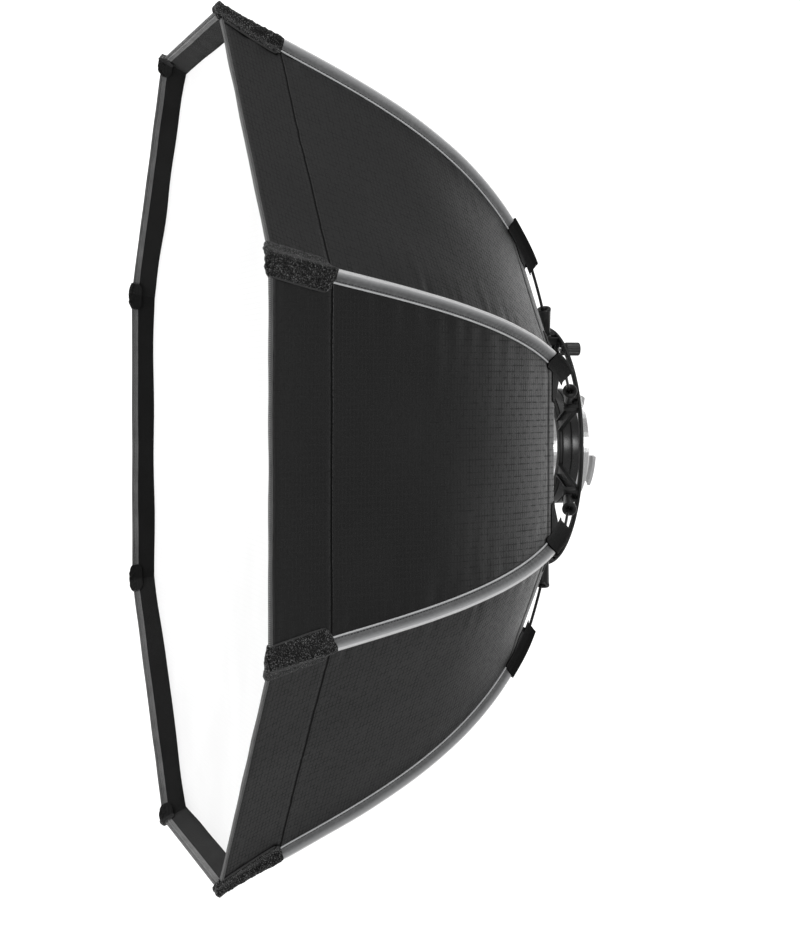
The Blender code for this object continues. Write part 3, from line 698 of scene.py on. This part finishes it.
def add_panel(index):
    """Half a gore on each side of a rib. Returns the piece, its length and its outer points."""
    behind = panel_rows()
    outer, outer_uvs = panel_layer(index, behind, shell_offset, panel_relief)
    inner, inner_uvs = panel_layer(index, behind, lambda s: shell_offset(s) - CLOTH, lining_relief)
    rows, columns = outer.shape[:2]
    middle = (behind[:-1] + behind[1:]) / 2
    # Faces in the seam's groove take the dull dark lip lining: painted shade in the groove.
    painted_seam_shade = np.abs(middle - SEAM + 0.0008) < 0.0010
    outside = np.where(middle < LIP_EDGE, 1, np.where(painted_seam_shade, 3, 0))
    inside = np.where(middle < LIP_EDGE + 0.004, 1, np.where(middle < LINING_FRONT, 3, 2))
    shape = Shape()
    for points, uvs, finish, flip in (
        (outer, outer_uvs, outside, False), (inner, inner_uvs, inside, True),
    ):
        faces = grid_faces(rows, columns, flip=flip)
        shape.add(to_world(index, points), faces, np.repeat(finish, columns - 1), uvs)
    rim = joined_layers(border(rows, columns), rows * columns)
    shape.faces += rim
    shape.finish += [1] * len(rim)
    finishes = [RIPSTOP, BINDING, LINING, LIP_LINING]
    panel = rib_piece("panel", "shell_panel", index, shape, finishes, 50)
    return panel, float(arc_at(share_behind(HEM))), outer


# --- Sleeves, tabs, caps and stitches ---


def arch_section(top, shoulder, foot, thickness, reach, base):
    """An arched strip's closed outline, as (across, height): its right half and the mirror."""
    turn = np.linspace(pi / 2, 0.05, 7)
    outer = [(shoulder * cos(a), top - shoulder + shoulder * sin(a)) for a in turn]
    outer += [(foot, base + 1.3 * thickness)]
    outer += [(foot + 0.35 * (reach - foot), base + 1.05 * thickness)]
    outer += [(reach, base + 0.8 * thickness), (reach + 0.0002, base + 0.3 * thickness)]
    inner_r = shoulder - thickness
    inner = [(reach, base), (foot, base), (foot - thickness, base + 0.2 * thickness)]
    inner += [(inner_r * cos(a), top - shoulder + inner_r * sin(a)) for a in turn[::-1]]
    outer, inner, flip = np.array(outer), np.array(inner), np.array((-1, 1))
    return np.concatenate((outer[::-1] * flip, outer[1:], inner, inner[::-1][1:] * flip))


ARCH_HALF = 11


def add_arch(shape, shares, top, shoulder, foot, thickness, reach, base, ruffle=None):
    """Sweeps an arched strip along the rib. Its UVs measure across from its crest."""
    rings, uvs = [], []
    for height, low in zip(top, base):
        section = arch_section(height, shoulder, foot, thickness, reach, low)
        rings.append(section)
        round_it = run_of(section)
        uvs.append(round_it - round_it[ARCH_HALF - 1])
    rings = np.array(rings)
    if ruffle is not None:
        rings = ruffle(shares, rings)
    local = on_rib(shares[:, None] + 0 * rings[..., 0], rings[..., 1], rings[..., 0])
    arc = arc_at(shares)[:, None] + 0 * rings[..., 0]
    shape.sweep(local, uvs=np.stack((arc, np.array(uvs)), -1))


SLEEVE_TOP = 0.0030
SLEEVE_SHOULDER = 0.0026
SLEEVE_FOOT = 0.0050
SLEEVE_REACH = 0.0064
SLEEVE_CLOTH = 0.0008
PIPING_RADIUS = 0.00085
STITCH_PITCH = 0.0034
STITCH_LENGTH = 0.0022
STITCH_RADIUS = 0.00034


def ruffled(index):
    """Scallops in a sleeve's sloping sides, pulled in by its stitches."""

    def move(shares, rings):
        arc = arc_at(shares)[:, None]
        t, n = rings[..., 0], rings[..., 1]
        depth = np.clip((n.max(1, keepdims=True) - n) / 0.006, 0, 1)
        pull = depth * np.exp(-(((np.abs(t) - SLEEVE_FOOT) / 0.0024) ** 2))
        waves = np.sin(2 * pi * arc / (2 * STITCH_PITCH) + 1.4 * ripple(90 + index, arc, 0.03))
        slack = 0.5 + 0.5 * smooth(ripple(130 + index, arc, 0.09), -0.6, 1.2)
        rings = rings.copy()
        rings[..., 0] += np.sign(t) * 0.00030 * pull * waves * slack
        rings[..., 1] += 0.00022 * pull * waves * slack + 0.00012 * ripple(170 + index, arc, 0.05)
        return rings

    return move


def tube(points, radius, sides):
    """Rings of a tube along 3-D points. Its radius may change from point to point."""
    points = np.asarray(points, float)
    along = np.gradient(points, axis=0)
    along /= np.linalg.norm(along, axis=1, keepdims=True)
    side = np.cross(along, (0.0, 1.0, 0.02))
    side /= np.linalg.norm(side, axis=1, keepdims=True)
    other = np.cross(along, side)
    radii = np.broadcast_to(radius, len(points))
    c, s = (way[None, :, None] for way in circle(sides))
    return points[:, None] + radii[:, None, None] * (c * side[:, None] + s * other[:, None])


def add_stitches(shape, line, finish):
    """Short raised stitches along a line of 3-D points."""
    run = run_of(line)
    radii = STITCH_RADIUS * np.array((0.35, 0.9, 1.0, 0.9, 0.35))
    for start in np.arange(STITCH_PITCH / 2, run[-1] - STITCH_LENGTH, STITCH_PITCH):
        along = np.linspace(start, start + STITCH_LENGTH, len(radii))
        path = np.stack([np.interp(along, run, line[:, i]) for i in range(3)], -1)
        shape.sweep(tube(path, radii, 6), finish)


def add_sleeve(index):
    """The tape arched over a rod, with a piping and a row of stitches on each side."""
    shares = np.linspace(share_behind(TAB_FRONT + 0.002), share_behind(CAP_BACK - 0.003), 240)
    shape = Shape()
    base = shell_offset(shares) + 0.0004
    add_arch(
        shape, shares, rod_offset(shares) + SLEEVE_TOP, SLEEVE_SHOULDER, SLEEVE_FOOT,
        SLEEVE_CLOTH, SLEEVE_REACH, base, ruffled(index),
    )
    for side in (-1, 1):
        line = on_rib(shares, base + 0.0005, side * (SLEEVE_REACH + 0.0003) + 0 * shares)
        shape.sweep(tube(line, PIPING_RADIUS, 8), 1)
        seam = side * (SLEEVE_FOOT + 0.0003)
        line = on_rib(shares, base + SLEEVE_CLOTH + 0.0004, seam + 0 * shares)
        add_stitches(shape, line, 2)
    shape.on_rib_number(index)
    return rib_piece("sleeve", "rib_sleeve", index, shape, [SATIN, PIPING, THREAD])


TAB_TOP = 0.0089
TAB_SHOULDER = 0.0024
TAB_FOOT = 0.0082
TAB_REACH = 0.0108
TAB_CLOTH = 0.0012
WING_SPAN = (0.002, 0.036)
WING_DEPTH = 0.0090


def add_tab(index):
    """The strap over the sleeve's end, with a short wing along the hem on each side."""
    count = 26
    shares = np.linspace(share_behind(TAB_BACK), share_behind(TAB_FRONT), count)
    shape = Shape()
    top = TAB_TOP + 0.0002 * np.sin(np.linspace(0, 5, count) + index)
    base = shell_offset(shares) + 0.0004
    add_arch(shape, shares, top, TAB_SHOULDER, TAB_FOOT, TAB_CLOTH, TAB_REACH, base)
    for side in (-1, 1):
        across = np.linspace(*WING_SPAN, 14)
        reach = WING_DEPTH * (1 - smooth(across, 0.004, 0.038)) + 0.0008
        rows = []
        for t, depth in zip(across, reach):
            back = share_behind(np.array((HEM - 0.004, HEM + 0.3 * depth, HEM + depth)))
            low = shell_offset(back) + 0.0003
            under, over = (on_rib(back, low + up, np.full(3, side * t)) for up in (0, 0.0010))
            rows.append(np.concatenate((under, over[::-1])))
        shape.sweep(np.array(rows))
    shape.on_rib_number(index)
    return rib_piece("tab", "end_tab", index, shape, [WEBBING], 35)


CAP_HALF = 0.0165
CAP_THICK = 0.0022
CAP_NOSE = 0.0020
CAP_FRONT = 0.0030
CAP_CORNER = 0.0105
CAP_BOTTOM = -0.0037
CAP_OVER, CAP_ROUND, CAP_WITHIN = 58, 9, 16
CAP_INNER_START = 65
CAP_FUZZ_END = 75
CAP_COLUMNS = 29


def cap_outline(across):
    """The strap's closed outline at a distance across: over, round the front, and inside."""
    reach = abs(across)
    turn_in = np.clip((reach - CAP_HALF + CAP_CORNER) / CAP_CORNER, 0, 1)
    shorter = CAP_CORNER * (1 - (1 - turn_in**2) ** 0.5)
    front = share_behind(CAP_FRONT + 0.5 * shorter)
    outer = np.linspace(share_behind(CAP_BACK - shorter), front, CAP_OVER)
    inside = np.linspace(front, share_behind(CAP_INSIDE_BACK - 0.6 * shorter), CAP_WITHIN)
    hump = 1 - smooth(reach, 0.0012, 0.0095)
    over_rod = rod_offset(outer) + ROD_RADIUS + 0.0006
    flat = shell_offset(outer) + 0.0005
    under = flat + (over_rod - flat) * hump
    edge = 1 - 0.55 * smooth(reach, CAP_HALF - 0.0022, CAP_HALF)
    thick = CAP_THICK * edge * (0.55 + 0.45 * smooth(outer, outer[0], outer[0] + 0.008))
    tip, normal = rib_line(front)
    along = np.array((normal[1], -normal[0]))

    def at(shares, offsets):
        point, out = rib_line(shares)
        return point + np.asarray(offsets)[:, None] * out

    top, bottom = under[-1] + thick[-1], CAP_BOTTOM
    turn = np.linspace(0, pi, CAP_ROUND + 2)[1:-1]
    middle, half = (top + bottom) / 2, (top - bottom) / 2
    nose = [
        tip + (middle + half * cos(a)) * normal + CAP_NOSE * sin(a) ** 0.75 * along for a in turn
    ]
    over = at(outer, under + thick)
    within = at(inside, np.full(CAP_WITHIN, bottom))
    back = at(inside[::-1], np.full(CAP_WITHIN, CAP_BOTTOM + 0.0013))
    lower = at(outer[::-1], under[::-1])
    return np.concatenate((over, nose, within, back, lower))


def add_cap(index):
    """The loop strap folded round a front corner, with a fuzzy outer face."""
    columns = CAP_HALF * np.sin(np.linspace(-pi / 2, pi / 2, CAP_COLUMNS))
    columns = 0.35 * columns + 0.65 * np.linspace(-CAP_HALF, CAP_HALF, CAP_COLUMNS)
    rings = []
    for across in columns:
        outline = cap_outline(across)
        fall = abs(across) * tan(HALF_STEP)
        wide = np.full(len(outline), across)
        rings.append(np.stack((outline[:, 0] - fall, outline[:, 1], wide), -1))
    rings = np.array(rings)
    count = rings.shape[1]
    shape = Shape().sweep(to_world(index, rings))
    finish = []
    # Inside the softbox the strap takes the plain dark lip lining instead of the loop and its
    # painted glints: painted shade where the strap lies in shadow.
    for row in range(CAP_COLUMNS - 1):
        if row in (0, CAP_COLUMNS - 2):
            finish += [1] * count
        else:
            finish += [0] * CAP_INNER_START + [2] * (count - CAP_INNER_START)
    shape.finish = finish + [1, 1]
    finishes = [LOOP, LOOP_EDGE, LIP_LINING]
    piece = rib_piece("cap", "corner_cap", index, shape, finishes, 60)
    mesh = piece.data
    points = np.array([v.co for v in mesh.vertices])
    normals = np.array([v.normal for v in mesh.vertices])
    random = np.random.RandomState(900 + index)
    fuzz = 0.00016 * random.normal(size=len(points)).clip(-1.6, 1.6)
    fuzz = fuzz + 0.00030 * wander(940 + index, points[:, 0] + points[:, 1], points[:, 2], 0.006)
    fuzz[np.arange(len(points)) % count >= CAP_FUZZ_END] = 0
    mesh.vertices.foreach_set("co", (points + fuzz[:, None] * normals).astype(np.float32).ravel())
    mesh.update()
    return piece


def add_rod(index):
    """The thin rod along the rib's line, from its holder to the corner."""
    shares = np.linspace(*ROD_ENDS, 110)
    line = to_world(index, on_rib(shares, rod_offset(shares), 0 * shares))
    shape = Shape().sweep(tube(line, ROD_RADIUS, 14))
    rib_piece("rod", "rib_rod", index, shape, [ROD_FINISH])


# --- Rod holders ---

HOLDER_PROFILE = (
    (0.0030, 0.0050), (0.0037, 0.0068), (0.0040, 0.0100), (0.0066, 0.0310), (0.0072, 0.0332),
    (0.0072, 0.0343), (0.0067, 0.0350), (0.0056, 0.0351), (0.0034, 0.0341), (0.0026, 0.0330),
    (0.0020, 0.0310), (0.0012, 0.0300),
)
LUG = ((-0.0042, -0.0042), (0.0050, -0.0036), (0.0062, 0.0), (0.0050, 0.0036), (-0.0042, 0.0042))
LUG_LEVELS = ((-0.0032, 0.92), (-0.0029, 1.0), (0.0029, 1.0), (0.0032, 0.92))
PIN_LEVELS = (
    (-0.0063, 0.0012), (-0.0060, 0.0015), (-0.0033, 0.0015),
    (0.0033, 0.0015), (0.0060, 0.0015), (0.0063, 0.0012),
)


def about_pivot(outline, scale, across):
    """An outline round the hinge's axis, scaled, at a distance across."""
    radius, y = PIVOT[:, None] + scale * np.asarray(outline).T
    return np.stack((radius, y, np.full(len(outline), across)), -1)


def add_holder(index):
    """A cone on a lug, with the hinge pin through it."""
    c, s = circle(32)
    out = np.array((cos(START_TILT), -sin(START_TILT)))
    up = np.array((sin(START_TILT), cos(START_TILT)))
    rings = []
    for radius, along in HOLDER_PROFILE:
        plane = PIVOT + along * out + radius * c[:, None] * up
        rings.append(np.c_[plane, radius * s])
    shape = Shape().sweep(np.array(rings))
    lug = fillet(LUG, 0.0034, 5)
    shape.sweep(np.array([about_pivot(lug, scale, across) for across, scale in LUG_LEVELS]))
    pin = np.stack(circle(16), -1)
    shape.sweep(np.array([about_pivot(pin, radius, across) for across, radius in PIN_LEVELS]))
    shape.on_rib_number(index)
    rib_piece("holder", "rod_holder", index, shape, [HOLDER_PLASTIC])


# --- Diffuser and baffle ---


def screen_relief(seed, x, z):
    """A tight sheet's small waves, stronger toward its corners."""
    radius = np.hypot(x, z)
    angle = np.arctan2(z, x)
    pull = np.cos(4 * (angle - HALF_STEP)) ** 8 * smooth(radius, 0.18, 0.42)
    return 0.0006 * wander(seed, x, z, 0.16) + 0.0006 * pull * np.sin(radius / 0.011)


SCREEN_THICK = 0.0006
SCREEN_CLEARANCE = 0.0005
SCREEN_COLUMNS = 41
FIELD_ROWS = 44
MIDDLE_RINGS = 30


def screen_part(index, radii, f, height, seed):
    """Points over one eighth of a screen, at fractions f across it at those radii."""
    r = radii[:, None]
    across = r * sin(HALF_STEP) * cos(HALF_STEP) * f[None, :]
    local = np.stack((r - np.abs(across) * tan(HALF_STEP), 0 * across, across), -1)
    points = to_world(index, local)
    points[..., 1] = height + screen_relief(seed, points[..., 0], points[..., 2])
    return points


def screen_piece(name, front, faces, body, node):
    """A thin closed sheet behind its front points, from faces that use both layers."""
    back = front.copy()
    back[..., 1] += SCREEN_THICK
    shape = Shape().add(np.concatenate((front.reshape(-1, 3), back.reshape(-1, 3))), faces)
    return make_piece(name, shape, [DIFFUSION], body, node, 60)


def add_screen(name, node, height, split, seed):
    """A taut octagonal sheet: eight outer fields on the ribs and a middle one on the hub."""
    corner = float(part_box(node)[1].x) / cos(HALF_STEP) - SCREEN_CLEARANCE
    rows, columns = FIELD_ROWS, SCREEN_COLUMNS
    total = rows * columns
    faces = grid_faces(rows, columns) + grid_faces(rows, columns, flip=True, first=total)
    faces += joined_layers(border(rows, columns), total)
    f = np.linspace(-1, 1, columns)
    for index in range(RIBS):
        front = screen_part(index, np.linspace(split, corner, rows), f, height, seed)
        label = f"{name}_field_{index + 1}"
        field = screen_piece(label, front, faces, f"rib_{index + 1}", node)
        squash_on_rib(field)

    rings = MIDDLE_RINGS
    radii = np.linspace(split / rings, split, rings)
    front = np.concatenate([screen_part(i, radii, f[:-1], height, seed) for i in range(RIBS)], 1)
    count = front.shape[1]
    total = rings * count
    faces = grid_faces(rings, count, wrap=True)
    faces += grid_faces(rings, count, wrap=True, flip=True, first=total)
    faces += [tuple(range(count)), tuple(range(total, total + count))[::-1]]
    faces += joined_layers(list(range(total - count, total)), total)
    middle = screen_piece(f"{name}_middle", front, faces, "hub", node)
    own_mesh(middle)


# --- Hub ---

RIM_INNER, RIM_OUTER = 0.1172, 0.1240
RIM_FRONT, RIM_BACK = FRONT_Y + 0.3760, FRONT_Y + 0.3792
FLANGE_INNER, FLANGE_OUTER = 0.0500, 0.0600
SPOKE_WIDTH = 0.014
EAR_THICKNESS = 0.0030
EAR_OFFSET = 0.0050
EAR_LEVELS = ((-0.5, 0.94), (-0.40, 1.0), (0.40, 1.0), (0.5, 0.94))
COLLAR_FRONT, COLLAR_BACK = FRONT_Y + 0.3795, FRONT_Y + 0.3975
COLLAR_INNER, COLLAR_OUTER = 0.0548, 0.0600
GROOVE = FRONT_Y + 0.3885
KNOB_ANGLE = radians(57.6)


def rounded_rect(inner, outer, front, back, radius=0.0008):
    return fillet([(outer, front), (outer, back), (inner, back), (inner, front)], radius, 4)


def add_hub_frame():
    """Rim, flange, a beaded spoke at each rib, hinge ears, and the knob's boss."""
    shape = Shape()
    shape.lathe(rounded_rect(RIM_INNER, RIM_OUTER, RIM_FRONT, RIM_BACK, 0.0012), 180)
    shape.lathe(rounded_rect(FLANGE_INNER, FLANGE_OUTER, RIM_FRONT, RIM_BACK), 120)
    depth = RIM_BACK - RIM_FRONT
    middle_y = (RIM_FRONT + RIM_BACK) / 2
    reach = RIM_INNER - FLANGE_OUTER + 0.006
    centre = (RIM_INNER + FLANGE_OUTER) / 2
    for i in range(RIBS):
        turn = Matrix.Rotation(-rib_angle(i), 4, "Y")
        spoke = turn @ Matrix.Translation((centre, middle_y, 0))
        shape.bevelled_box((reach, depth * 0.98, SPOKE_WIDTH), 0.0008, 3, spoke)
        for side in (-1, 1):
            edge = side * (SPOKE_WIDTH / 2 - 0.0014)
            bead = turn @ Matrix.Translation((centre, RIM_FRONT - 0.0006, edge))
            shape.bevelled_box((reach - 0.004, 0.0024, 0.0018), 0.0004, 2, bead)
    half = 0.0045
    arc = [(half * cos(a), -half * sin(a)) for a in np.linspace(0, pi, 11)]
    outline = np.array([(half, RIM_BACK - PIVOT[1]), *arc, (-half + 0.002, RIM_BACK - PIVOT[1])])
    for index in range(RIBS):
        for offset in (-EAR_OFFSET, EAR_OFFSET):
            rings = [
                about_pivot(outline, scale, offset + level * EAR_THICKNESS)
                for level, scale in EAR_LEVELS
            ]
            shape.sweep(to_world(index, np.array(rings)))
    boss = [(0.0026, 0.0), (0.0062, 0.0), (0.0064, 0.0004), (0.0064, depth), (0.0026, depth)]
    shape.add(*turned_about_knob(boss, RIM_FRONT - 0.0002, 28))
    make_piece("hub_frame_body", shape, [HUB_PLASTIC], "hub", "hub_frame", 35)


def turned_about_knob(profile, start_y, sides, wobble=None):
    """A closed profile of (radius, y) turned about the knob's axis."""
    centre = (PIVOT[0] * cos(KNOB_ANGLE), PIVOT[0] * sin(KNOB_ANGLE))
    points = []
    for a in np.linspace(0, 2 * pi, sides, endpoint=False):
        for r, y in profile:
            k = r if wobble is None else r + wobble(a, r, y)
            points.append((centre[0] + k * cos(a), start_y + y, centre[1] + k * sin(a)))
    return points, turned_faces(sides, len(profile))


def add_knob():
    def flutes(a, r, y):
        if r < 0.0055 or y < 0.0008 or y > 0.0145:
            return 0.0
        return -0.00055 * max(0.0, cos(12 * a)) ** 2

    profile = [(0.0024, 0.0003), (0.0060, 0.0003), (0.0066, 0.0010), (0.0068, 0.0016)]
    profile += [(0.0068, y) for y in np.linspace(0.0024, 0.0136, 8)]
    profile += [(0.0067, 0.0143), (0.0063, 0.0149), (0.0055, 0.0152), (0.0045, 0.0150)]
    profile += [(0.0038, 0.0145), (0.0012, 0.0144), (0.0008, 0.0080), (0.0024, 0.0076)]
    shape = Shape().add(*turned_about_knob(profile, RIM_BACK, 144, flutes))
    make_piece("knob_grip", shape, [KNOB_PLASTIC], "knob", "lock_knob")


def add_collar():
    floor = COLLAR_OUTER - 0.0010
    points = [
        (COLLAR_OUTER, COLLAR_FRONT), (COLLAR_OUTER, GROOVE - 0.0006), (floor, GROOVE - 0.0004),
        (floor, GROOVE + 0.0004), (COLLAR_OUTER, GROOVE + 0.0006), (COLLAR_OUTER, COLLAR_BACK),
        (COLLAR_INNER, COLLAR_BACK), (COLLAR_INNER, COLLAR_FRONT),
    ]
    shape = Shape().lathe(fillet(points, 0.0005, 3), 160)
    make_piece("collar_ring", shape, [COLLAR_FINISH], "hub", "collar")


def paint(node, material):
    """Gives its finish to a CAD node that stays."""
    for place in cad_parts[node].material_slots:
        place.material = material


# --- Build ---

for rib in range(RIBS):
    panel, length, outer_points = add_panel(rib)
    sleeve = add_sleeve(rib)
    tab = add_tab(rib)
    cap = add_cap(rib)
    add_rod(rib)
    add_holder(rib)
    squash_on_rib(panel)
    arcs = arc_at(share_behind(panel_rows()))

add_screen("diffuser", "front_diffuser", FRONT_Y + DIFFUSER, split=0.14, seed=11)
add_screen("baffle", "inner_baffle", FRONT_Y + BAFFLE, split=0.12, seed=12)

add_hub_frame()
add_collar()
add_knob()
paint("bayonet_adapter", SILVER)
paint("retaining_ring", COLLAR_FINISH)
paint("lock_stud", STEEL)
for number in range(1, 5):
    paint(f"collar_screw_{number}", STEEL)


# --- Floor, lights and world ---

FLOOR_RADIUS = 2.75
FLOOR_HEIGHT = -1.30
DARK_AZIMUTH = radians(20)
# Sines of the angles between which a direction's light fades from bright to dark.
DARK_SIDE = (0.0, 0.574)
BRIGHT_BAND = (0.17, 0.52)
ROOM_BRIGHT = 1.30
ROOM_DARK = 0.26


def add_light(name, place, target, size, power):
    data = bpy.data.lights.new(name, "AREA")
    data.shape = "RECTANGLE"
    data.size, data.size_y = size
    data.energy = power
    light = bpy.data.objects.new(name, data)
    light.location = place
    aim = Vector(target) - Vector(place)
    light.rotation_mode = "QUATERNION"
    light.rotation_quaternion = aim.to_track_quat("-Z", "Y")
    bpy.context.scene.collection.objects.link(light)


def add_floor():
    made = bmesh.new()
    bmesh.ops.create_circle(made, cap_ends=True, segments=96, radius=FLOOR_RADIUS)
    mesh = bpy.data.meshes.new("floor")
    made.to_mesh(mesh)
    made.free()
    mesh.materials.append(floor_material())
    floor = bpy.data.objects.new("floor", mesh)
    floor.location = (0, 0, FLOOR_HEIGHT)
    bpy.context.scene.collection.objects.link(floor)


def add_world():
    """A white room, darker above, below and on one side, so that black cloth stays black."""
    n = Nodes(bpy.data.worlds.new("studio"))
    direction = n.coordinates["Generated"]
    dark_way = (cos(DARK_AZIMUTH), sin(DARK_AZIMUTH), 0.0)
    toward = n.new("ShaderNodeVectorMath", {0: direction, 1: dark_way}, operation="DOT_PRODUCT")
    side = n.ramp(toward["Value"], 1.0, 0.0, *DARK_SIDE)
    band = n.ramp(n.math("ABSOLUTE", n.parts(direction)["Z"]), 1.0, 0.0, *BRIGHT_BAND)
    share = n.math("MULTIPLY", side, band)
    level = n.math("MULTIPLY_ADD", share, ROOM_BRIGHT - ROOM_DARK, ROOM_DARK)
    background = n.tree.nodes["Background"].inputs
    n.put((1.0, 1.0, 1.0, 1.0), background["Color"])
    n.put(level, background["Strength"])
    bpy.context.scene.world = n.owner


add_floor()
add_world()
add_light("front_fill", (-1.2, -3.4, 0.9), (0.0, -0.4, 0.0), (2.4, 2.4), 74)
add_light("top", (0.4, 0.2, 2.6), (0.0, -0.1, 0.0), (2.2, 2.2), 13)
add_light("key", (3.1, 0.75, 0.35), (0.1, -0.1, 0.0), (1.1, 0.8), 20)
bpy.context.scene.view_settings.view_transform = "Standard"
